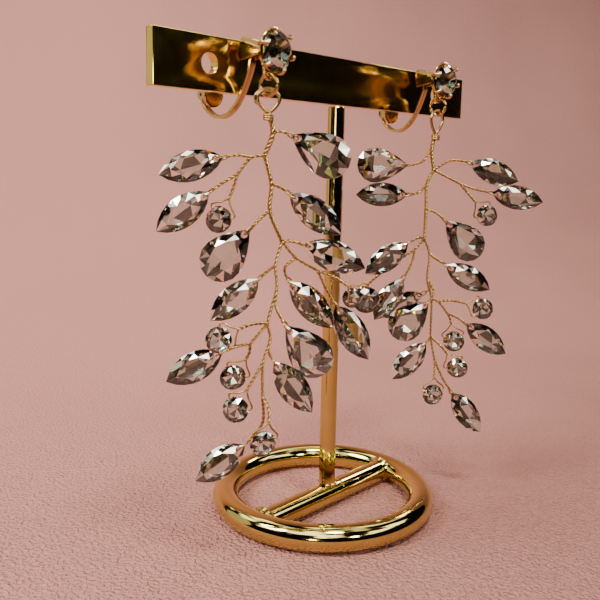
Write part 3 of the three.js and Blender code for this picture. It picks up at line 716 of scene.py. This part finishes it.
def cutStone(kind):
    middle = stones["length"][kind] / 2
    top = stones["girdle"] / 2
    shape = bmesh.new()

    def level(ring, share, height):
        for x, y in ring:
            shape.verts.new((x * share, middle + (y - middle) * share, height))

    around = outlineOf(kind, 16)  # the girdle, then the crown, table, pavilion and keel
    level(around, 1, top)
    level(around, 1, -top)
    crownShare, crownHeight = stones["crownRing"]
    level(around[1::2], crownShare, top + crownHeight)
    level(outlineOf(kind, 8), stones["table"], top + stones["crown"])
    backShare, backDepth = stones["backRing"]
    level(around[1::2], backShare, -top - backDepth * stones["pavilion"])
    for share in [1] if kind == "round" else stones["keel"]:
        shape.verts.new((0, middle * share, -top - stones["pavilion"]))
    bmesh.ops.convex_hull(shape, input=shape.verts)
    loose = [vert for vert in shape.verts if not vert.link_faces]
    bmesh.ops.delete(shape, geom=loose, context="VERTS")
    bmesh.ops.dissolve_limit(shape, angle_limit=0.01, verts=shape.verts, edges=shape.edges)
    mesh = meshOf(shape, kind + "Cut")
    drill = bmesh.new()
    if kind == "round":
        spot = Matrix.Translation((0, stones["rimInset"], 0)) @ alongX
        bore = stones["rimHole"] / 2
    else:
        spot = Matrix.Translation((0, stones["tipInset"], 0))
        bore = stones["tipHole"] / 2
    addLathe(drill, [(0, -12), (bore, -12), (bore, 12), (0, 12)], 20, spot)
    bmesh.ops.remove_doubles(drill, verts=drill.verts, dist=0.001)
    bmesh.ops.recalc_face_normals(drill, faces=drill.faces)
    blank = newObject("stoneBlank", mesh)
    tool = newObject("stoneDrill", meshOf(drill, "drill"))
    cut = blank.modifiers.new("hole", "BOOLEAN")
    cut.object = tool
    cut.solver = "EXACT"
    made = evaluatedMesh(blank)
    bpy.data.objects.remove(blank)
    bpy.data.objects.remove(tool)
    return made


def makeTopStone(name, place):
    shape = bmesh.new()
    radius = clip["stoneDiameter"] / 2
    half = stones["girdle"] / 2

    def level(count, share, height, turn=0):
        for i in range(count):
            angle = 2 * math.pi * (i + turn) / count
            shape.verts.new((math.cos(angle) * radius * share, math.sin(angle) * radius * share, height))

    level(32, 1, -half)
    level(32, 1, half - gap)
    crownShare, crownHeight = stones["topCrownRing"]
    level(16, crownShare, -half - crownHeight, 0.5)
    level(8, stones["table"], -half - stones["crown"])
    level(8, *stones["topBackRing"])
    level(1, 0, clip["cupDepth"] - clip["plate"] - gap)
    bmesh.ops.convex_hull(shape, input=shape.verts)
    bmesh.ops.dissolve_limit(shape, angle_limit=0.01, verts=shape.verts, edges=shape.edges)
    mesh = meshOf(shape, name + "TopStone")
    spot = Matrix.Translation((0, stoneY, stoneZ)) @ alongY
    paintFacetLight(mesh, crystal["seed"], spot)
    mesh.transform(Matrix.Scale(metres, 4) @ place @ spot)
    finishMesh(mesh, name + "TopStone", "crystal", "stand", [name + "_top_stone"], smooth=0)


def placeOf(row):
    along = Matrix.Translation((row["along"] * stand["barLength"], 0, 0))
    return along @ Matrix.Rotation(math.radians(row["turn"]), 4, "Z")


for row in earrings:
    place = placeOf(row)
    makeSetting(row["name"], place)
    makeTopStone(row["name"], place)
    makeClipArm(row["name"], place)
    makeClipPad(row["name"], place)
    makeJumpRing(row["name"], row["ringTurn"], place)
print("clips made")


# Twisted strands along any number of polylines: copies of each line wind round it, at the spread
# from it and with one full turn for each pitch
def twistTree():
    tree = bpy.data.node_groups.new("twistedStrands", "GeometryNodeTree")
    sockets = {}
    kinds = [
        ("Geometry", "NodeSocketGeometry"), ("Strands", "NodeSocketInt"), ("Spread", "NodeSocketFloat"),
        ("Pitch", "NodeSocketFloat"), ("Strand Radius", "NodeSocketFloat"), ("Step", "NodeSocketFloat"),
        ("Material", "NodeSocketMaterial"),
    ]
    for name, kind in kinds:
        item = tree.interface.new_socket(name, in_out="INPUT", socket_type=kind)
        sockets[name] = item.identifier
    tree.interface.new_socket("Geometry", in_out="OUTPUT", socket_type="NodeSocketGeometry")
    start = tree.nodes.new("NodeGroupInput")
    given = {name: Flow(tree, start.outputs[name]) for name, _ in kinds}
    first = given["Geometry"]
    line = first.node("GeometryNodeMeshToCurve", {"Mesh": first})
    line = first.node("GeometryNodeResampleCurve", {"Curve": line, "Length": given["Step"]}, mode="LENGTH")
    copies = tree.nodes.new("GeometryNodeDuplicateElements")
    copies.domain = "SPLINE"
    tree.links.new(line.socket, copies.inputs["Geometry"])
    tree.links.new(given["Strands"].socket, copies.inputs["Amount"])
    lines, index = Flow(tree, copies.outputs["Geometry"]), Flow(tree, copies.outputs["Duplicate Index"])
    tangent = first.node("GeometryNodeInputTangent", {})
    normal = first.node("GeometryNodeInputNormal", {}, "Normal")
    across = first.node("ShaderNodeVectorMath", {0: tangent, 1: normal}, operation="CROSS_PRODUCT")
    length = first.node("GeometryNodeSplineParameter", {}, "Length")
    angle = (length / given["Pitch"] + index / given["Strands"]) * (2 * math.pi)
    sideways = []
    for direction, operation in ((normal, "COSINE"), (across, "SINE")):
        reach = angle.maths(operation) * given["Spread"]
        fed = {0: direction, "Scale": reach}
        sideways.append(first.node("ShaderNodeVectorMath", fed, operation="SCALE"))
    offset = first.node("ShaderNodeVectorMath", dict(enumerate(sideways)), operation="ADD")
    moved = first.node("GeometryNodeSetPosition", {"Geometry": lines, "Offset": offset})
    ring = first.node(
        "GeometryNodeCurvePrimitiveCircle", {"Resolution": 8, "Radius": given["Strand Radius"]}, "Curve")
    fed = {"Curve": moved, "Profile Curve": ring, "Fill Caps": True}
    solidWire = first.node("GeometryNodeCurveToMesh", fed)
    whole = first.node("GeometryNodeRealizeInstances", {"Geometry": solidWire})
    painted = first.node("GeometryNodeSetMaterial", {"Geometry": whole, "Material": given["Material"]})
    end = tree.nodes.new("NodeGroupOutput")
    tree.links.new(painted.socket, end.inputs["Geometry"])
    return tree, sockets


twisting, twistSockets = twistTree()


def twistedMesh(paths, strands, spread, strandRadius, step, closed=False, pitch=wire["pitch"]):
    mesh = bpy.data.meshes.new("twistPath")
    verts, edges = [], []
    for path in paths:
        start = len(verts)
        verts += [point * metres for point in path]
        edges += [(start + i, start + i + 1) for i in range(len(path) - 1)]
        if closed:
            edges.append((start + len(path) - 1, start))
    mesh.from_pydata(verts, edges, [])
    holder = newObject("twistPath", mesh)
    modifier = holder.modifiers.new("twist", "NODES")
    modifier.node_group = twisting
    values = {
        "Strands": strands, "Spread": spread * metres, "Pitch": pitch * metres,
        "Strand Radius": strandRadius * metres, "Step": step * metres, "Material": materials["gold_wire"],
    }
    for name, value in values.items():
        modifier[twistSockets[name]] = value
    made = evaluatedMesh(holder)
    bpy.data.objects.remove(holder)
    return made


# The wire loop that holds a stone, in the stone's own frame: round the side of a round stone, and
# through the tip of the others
def loopPath(kind):
    if kind == "round":
        inset = stones["rimInset"]
        end = math.sqrt(inset * (stones["length"]["round"] - inset)) + 0.1
        reach = wire["rimReach"]
        side = [(end + 0.05, inset), (end + 0.4, 0.5 * inset), (0.45 * end, -0.4 * reach)]
        points = [(0, inset), *side, (0, -reach), *[(-x, y) for x, y in reversed(side)]]
        return catmullRom([Vector((x, y, 0)) for x, y in points], 60, True)
    inset, reach = stones["tipInset"], wire["tipReach"]

    def boxy(value):
        return math.copysign(abs(value) ** wire["loopSquare"], value)

    points = []
    for i in range(10):
        angle = 2 * math.pi * i / 10
        along = (inset - reach) / 2 + (inset + reach) / 2 * boxy(math.cos(angle))
        points.append(Vector((0, along, wire["loopHeight"] * boxy(math.sin(angle)) - 0.1)))
    return catmullRom(points, 40, True)


stoneCuts = {kind: cutStone(kind) for kind in ("pear", "marquise", "round")}
stoneLoops = {kind: loopPath(kind) for kind in stoneCuts}
print("stones cut")


# Sprays: forks are (side, down), stems are (wires, forks that they pass), and stones are
# (kind, fork, side, down, turn, lean, front), with the places as shares of the drop length.
leftSpray = {
    "forks": {
        "eye": (0, 0), "a": (0.012, 0.050), "b": (-0.008, 0.109), "b1": (-0.042, 0.115),
        "b2": (-0.078, 0.159), "c": (0.010, 0.183), "d": (0.007, 0.250), "e": (0.040, 0.331),
        "e1": (0.077, 0.372), "e2": (0.135, 0.406), "f": (0.024, 0.394), "g": (0.028, 0.453),
        "h": (0.006, 0.550), "h1": (-0.041, 0.608), "i": (0.013, 0.592), "j": (-0.005, 0.657),
        "k": (-0.006, 0.749),
    },
    "stems": [
        (6, "eye a b"), (4, "b c d e"), (2, "e f g h i j k"), (2, "b b1 b2"), (2, "e e1 e2"), (2, "h h1"),
    ],
    "stones": [
        ("pear", "a", 0.134, 0.097, 62, -14, 0.010),
        ("marquise", "b1", -0.198, 0.140, -74, 12, 0),
        ("marquise", "b2", -0.219, 0.258, -53, -10, 0.006),
        ("round", "b2", -0.127, 0.277, -26, 18, -0.008),
        ("pear", "d", -0.100, 0.362, -42, 8, 0.012),
        ("marquise", "c", 0.127, 0.258, 53, 10, -0.006),
        ("marquise", "e", 0.177, 0.366, 70, -12, 0.012),
        ("marquise", "f", -0.086, 0.493, -48, -8, -0.030),
        ("round", "h", -0.122, 0.592, -60, 14, 0.024),
        ("marquise", "h1", -0.190, 0.675, -61, 9, -0.006),
        ("round", "h1", -0.087, 0.703, -35, -15, -0.012),
        ("round", "j", -0.077, 0.786, -29, 12, 0.010),
        ("marquise", "k", -0.121, 0.948, -52, 14, -0.016),
        ("round", "k", -0.001, 0.871, -14, -24, 0.038),
        ("marquise", "i", 0.076, 0.724, 37, -10, 0),
        ("pear", "g", 0.108, 0.613, 40, 6, 0.026),
        ("marquise", "e1", 0.122, 0.503, 44, 10, -0.030),
        ("marquise", "e2", 0.230, 0.570, 32, -16, 0),
        ("round", "e2", 0.262, 0.476, 53, 12, 0.030),
    ],
}
rightSpray = {
    "forks": {
        "eye": (0, 0), "a": (-0.010, 0.049), "b": (-0.001, 0.120), "b1": (0.088, 0.163),
        "c": (-0.021, 0.165), "d": (-0.021, 0.248), "e": (-0.022, 0.350), "e1": (-0.052, 0.384),
        "e2": (-0.145, 0.450), "f": (-0.003, 0.400), "g": (-0.006, 0.487), "h": (0.011, 0.554),
        "h1": (0.032, 0.561), "h2": (0.068, 0.603), "i": (0.015, 0.686), "j": (0.031, 0.765),
    },
    "stems": [
        (6, "eye a b"), (4, "b c d e"), (2, "e f g h i j"), (2, "b b1"), (2, "e e1 e2"), (2, "h h1 h2"),
    ],
    "stones": [
        ("pear", "a", -0.172, 0.107, -89, 10, 0.012),
        ("marquise", "b", 0.200, 0.123, 70, -10, 0),
        ("marquise", "b1", 0.280, 0.205, 81, 14, 0.008),
        ("round", "b1", 0.184, 0.267, 43, -12, 0),
        ("pear", "d", 0.104, 0.345, 46, -8, 0.012),
        ("marquise", "c", -0.169, 0.204, -89, -12, -0.010),
        ("marquise", "e", -0.151, 0.414, -53, 10, 0.040),
        ("marquise", "f", 0.131, 0.477, 62, 9, 0),
        ("round", "h1", 0.185, 0.583, 73, -14, 0.008),
        ("marquise", "h2", 0.204, 0.689, 54, -12, 0),
        ("round", "h2", 0.096, 0.701, 11, 10, -0.008),
        ("round", "i", 0.109, 0.791, 37, 14, 0.006),
        ("marquise", "j", 0.149, 0.952, 37, -16, 0),
        ("round", "j", 0.029, 0.888, -3, -10, 0.006),
        ("marquise", "i", -0.057, 0.772, -41, 12, 0),
        ("pear", "g", -0.062, 0.619, -44, 8, 0.030),
        ("marquise", "g", -0.087, 0.585, -62, -6, -0.052),
        ("marquise", "e1", -0.134, 0.559, -33, -8, -0.008),
        ("round", "e2", -0.257, 0.555, -47, -12, 0),
    ],
}
sprays = {"left": leftSpray, "right": rightSpray}


# Each spray hangs in a plane of its own, and a stone's front lifts it out of that plane
def makeSpray(row, place):
    name = row["name"]
    spray = sprays[name]
    eyeTurn = Matrix.Rotation(math.radians(row["eyeTurn"]), 3, "Z")

    def onEye(x, z):
        spot = eyeTurn @ Vector((x + z * row["eyeLean"], 0, -z * row["eyeHeight"]))
        return spot + Vector((0, ringY, eyeTopZ))

    root = onEye(0, 1)
    plane = Matrix.Rotation(math.radians(wire["sprayTurn"] - row["turn"]), 4, "Z")
    drop = wire["dropLength"]

    def at(side, down, front=0):
        return root + plane @ (Vector((side, -front, -down)) * drop)

    paths = {2: [], 4: [], 6: []}
    for count, through in spray["stems"]:
        points = [at(*spray["forks"][fork]) for fork in through.split()]
        paths[count].append(catmullRom(points, 24 * (len(points) - 1)))
    loops = []
    for number, (kind, fork, side, down, heading, lean, front) in enumerate(spray["stones"], 1):
        turn = math.radians(heading)
        pointing = plane.to_3x3() @ Vector((math.sin(turn), 0, -math.cos(turn)))
        facing = Matrix.Rotation(math.radians(lean), 3, pointing) @ (plane.to_3x3() @ Vector((0, -1, 0)))
        tip = at(side, down, front) - pointing * stones["length"][kind] / 2
        stoneFrame = Matrix((pointing.cross(facing), pointing, facing)).transposed().to_4x4()
        stoneFrame.translation = tip
        label = f"{name}_{kind}_{number:02d}"
        mesh = stoneCuts[kind].copy()
        paintFacetLight(mesh, crystal["seed"] * 100 + number, place @ stoneFrame)
        mesh.transform(Matrix.Scale(metres, 4) @ place @ stoneFrame)
        pieceName = f"{name}{kind.capitalize()}{number:02d}"
        finishMesh(mesh, pieceName, "crystal", name + "_drop", [label], smooth=0)
        start = at(*spray["forks"][fork])
        meet = tip - pointing * wire["rimReach" if kind == "round" else "tipReach"]
        span = (meet - start).length
        bend = (meet - pointing * span / 2 + (start + meet) / 2) / 2
        paths[2].append(catmullRom([start, bend, meet], 30))
        loops.append([stoneFrame @ point for point in stoneLoops[kind]])
    eye = wire["eyeLine"] + [(-x, z) for x, z in reversed(wire["eyeLine"][1:])]
    eyePoints = [onEye(x * row["eyeWidth"], z) for x, z in eye]
    wrap = []
    turns = wire["wrapTurns"]
    for i in range(24 * turns + 1):
        angle = 2 * math.pi * i / 24
        around = Vector((math.cos(angle), math.sin(angle), 0)) * wire["wrapSpread"]
        wrap.append(root + around - Vector((0, 0, wire["wrapDrop"] + i / 24 * wire["wrapPitch"])))
    ends = [wrap]
    if row["tail"]:
        tail = [onEye(x * row["eyeWidth"], z) for x, z in wire["tailLine"]]
        ends.append(catmullRom(tail, 30))
    strand = wire["strand"] / 2
    stemStep, loopStep, eyeStep = wire["stemStep"], wire["loopStep"], wire["eyeStep"]
    meshes = [twistedMesh(paths[2], 2, strand, strand, stemStep)]
    for count, (spread, thickness) in wire["ropes"].items():
        sizes = (strand * spread, strand * thickness, stemStep)
        meshes.append(twistedMesh(paths[count], 3, *sizes, pitch=wire["ropePitch"]))
    meshes += [
        twistedMesh(loops, 1, 0, strand, loopStep, True),
        twistedMesh([catmullRom(eyePoints, 80, True)], 1, 0, wire["eyeWire"] / 2, eyeStep, True),
        twistedMesh(ends, 1, 0, wire["endWire"] / 2, eyeStep),
    ]
    joined = bmesh.new()
    for mesh in meshes:
        joined.from_mesh(mesh)
    mesh = meshOf(joined, name + "Wires")
    placeInMetres = place.copy()
    placeInMetres.translation = place.translation * metres
    mesh.transform(placeInMetres)
    finishMesh(mesh, name + "Wires", "gold_wire", name + "_drop", [name + "_spray"], smooth=50)


for row in earrings:
    makeSpray(row, placeOf(row))
print("sprays made")


# A cloth that lies under the stand and rises behind it, in metres. Its colour carries painted shade: it
# darkens to the right and upwards as seen from the camera and in its folds, from the light colour where lit
# to the dark colour where shaded, and its weave fades behind the stand.
cloth = {
    "light": (0.73, 0.335, 0.28), "dark": (0.23, 0.095, 0.08), "roughness": 0.7,
    "start": 0.09, "radius": 0.42, "height": 1.1, "front": 0.42, "left": 0.9, "right": 0.6,
    "acrossShade": 1.8, "heightShade": 0.9, "foldShade": 0.35, "shadeFrom": 0.05, "shadeTo": 0.75,
    "foldScale": 9, "foldStretch": 0.25, "grainScale": 700, "grainShare": 0.15,
    "weaveScale": 950, "weaveFrom": 0.30, "weaveTo": 0.70, "weaveGone": 0.18, "weaveFull": -0.02,
    "weaveLeft": 0.1, "foldHeight": 0.5, "bumpHeight": 0.0009,
}


def clothMaterial():
    material, tree, shader, place = newMaterial("cloth")
    parts = tree.nodes.new("ShaderNodeSeparateXYZ")
    tree.links.new(place.socket, parts.inputs[0])
    x, y, z = (Flow(tree, parts.outputs[i]) for i in range(3))
    forward, right = view["forward"], view["right"]
    across = x * right[0] + y * right[1]
    behind = x * forward[0] + y * forward[1]
    fed = {0: place, 1: (1, 1, cloth["foldStretch"])}
    stretched = place.node("ShaderNodeVectorMath", fed, operation="MULTIPLY")
    folds = noiseAt(stretched, cloth["foldScale"], 2.0)
    # Painted shade: darker to the right, upwards and in the folds
    shade = across * cloth["acrossShade"] + z * cloth["heightShade"] + folds * cloth["foldShade"]
    share = between(shade, cloth["shadeFrom"], cloth["shadeTo"])
    speckle = noiseAt(place, cloth["grainScale"], 4.0)
    share = share * (1 - cloth["grainShare"]) + speckle * cloth["grainShare"]
    tree.links.new(mixColours(share, cloth["light"], cloth["dark"]).socket, shader.inputs["Base Color"])
    weave = between(noiseAt(place, cloth["weaveScale"], 1.5), cloth["weaveFrom"], cloth["weaveTo"])
    near = between(behind, cloth["weaveGone"], cloth["weaveFull"])
    seen = near * (1 - cloth["weaveLeft"]) + cloth["weaveLeft"]
    height = weave * seen + folds * cloth["foldHeight"]
    tree.links.new(bumpOf(height, 1, cloth["bumpHeight"]).socket, shader.inputs["Normal"])
    shader.inputs["Roughness"].default_value = cloth["roughness"]
    return material


def makeCloth():
    forward = Vector((*view["forward"][:2], 0)).normalized()
    side = Vector((forward.y, -forward.x, 0))
    start, radius = cloth["start"], cloth["radius"]
    profile = [(-cloth["front"], 0), (0, 0), (start, 0)]
    for i in range(1, 33):
        angle = math.pi / 2 * i / 32
        profile.append((start + radius * math.sin(angle), radius * (1 - math.cos(angle))))
    profile.append((start + radius, cloth["height"]))
    left, right = cloth["left"], cloth["right"]
    points, faces = [], []
    for away, height in profile:
        points += [forward * away + side * x + Vector((0, 0, height)) for x in (-left, right)]
    for i in range(0, len(points) - 2, 2):
        faces.append((i, i + 1, i + 3, i + 2))
    mesh = bpy.data.meshes.new("cloth")
    mesh.from_pydata(points, [], faces)
    mesh.materials.append(clothMaterial())
    mesh.shade_smooth()
    newObject("cloth", mesh)


# A dome of bright and dark patches that only mirrors and clear stones see
dome = {
    "radius": 1.3, "floor": 0.6, "strength": 5.0, "scale": 2.4, "patchFrom": 0.49, "patchTo": 0.64,
    "dark": (0.0, 0.0, 0.0), "bright": (1.0, 0.96, 0.90),
}


def makeDome():
    material, tree, shader, place = newMaterial("dome")
    tree.nodes.remove(shader)
    share = between(noiseAt(place, dome["scale"], 1.0), dome["patchFrom"], dome["patchTo"])
    light = tree.nodes.new("ShaderNodeEmission")
    tree.links.new(mixColours(share, dome["dark"], dome["bright"]).socket, light.inputs["Color"])
    light.inputs["Strength"].default_value = dome["strength"]
    tree.links.new(light.outputs[0], tree.nodes["Material Output"].inputs["Surface"])
    shape = bmesh.new()
    bmesh.ops.create_icosphere(shape, subdivisions=5, radius=dome["radius"])
    low = [vert for vert in shape.verts if vert.co.z < dome["floor"]]
    bmesh.ops.delete(shape, geom=low, context="VERTS")
    mesh = meshOf(shape, "dome")
    mesh.materials.append(material)
    shell = newObject("dome", mesh)
    shell.visible_camera = False
    shell.visible_diffuse = False
    shell.visible_shadow = False


# Lamps: place, size, power and colour. Each one looks at the aim.
lamps = {
    "windowLight": ((-0.55, 0.18, 0.62), 0.34, 5.8, (1.0, 0.95, 0.90)),
    "cardLight": ((-0.62, 0.72, 0.24), 0.60, 0.66, (1.0, 0.90, 0.74)),
    "ceilingLight": ((-0.10, -0.25, 0.80), 0.16, 3.6, (1.0, 0.93, 0.82)),
    "lowLight": ((-0.46, -0.30, 0.12), 0.07, 0.30, (1.0, 0.90, 0.74)),
    "sideLight": ((0.42, 0.02, 0.40), 0.09, 0.5, (1.0, 0.88, 0.70)),
    "frontLight": ((-0.16, -0.60, 0.36), 0.10, 0.8, (1.0, 0.96, 0.92)),
}
aim = (0, 0, 0.06)
# The room, with one colour for mirrors and one for all else
room = {"colour": (0.012, 0.009, 0.004), "wallColour": (0.60, 0.46, 0.42), "strength": 0.36}


def makeLight(name, place, size, power, colour):
    data = bpy.data.lights.new(name, "AREA")
    data.shape = "DISK"
    data.size = size
    data.energy = power
    data.color = colour
    lamp = newObject(name, data)
    lamp.location = place
    lamp.rotation_euler = (Vector(aim) - Vector(place)).to_track_quat("-Z", "Y").to_euler()


def makeWorld():
    world = bpy.data.worlds.new("studio")
    bpy.context.scene.world = world
    world.use_nodes = True
    tree = world.node_tree
    background = tree.nodes["Background"]
    rays = tree.nodes.new("ShaderNodeLightPath")
    mirrored = Flow(tree, rays.outputs["Is Glossy Ray"])
    colour = mixColours(mirrored, room["wallColour"], room["colour"])
    tree.links.new(colour.socket, background.inputs["Color"])
    background.inputs["Strength"].default_value = room["strength"]


makeCloth()
makeDome()
makeWorld()
for name, look in lamps.items():
    makeLight(name, *look)
print("studio made")
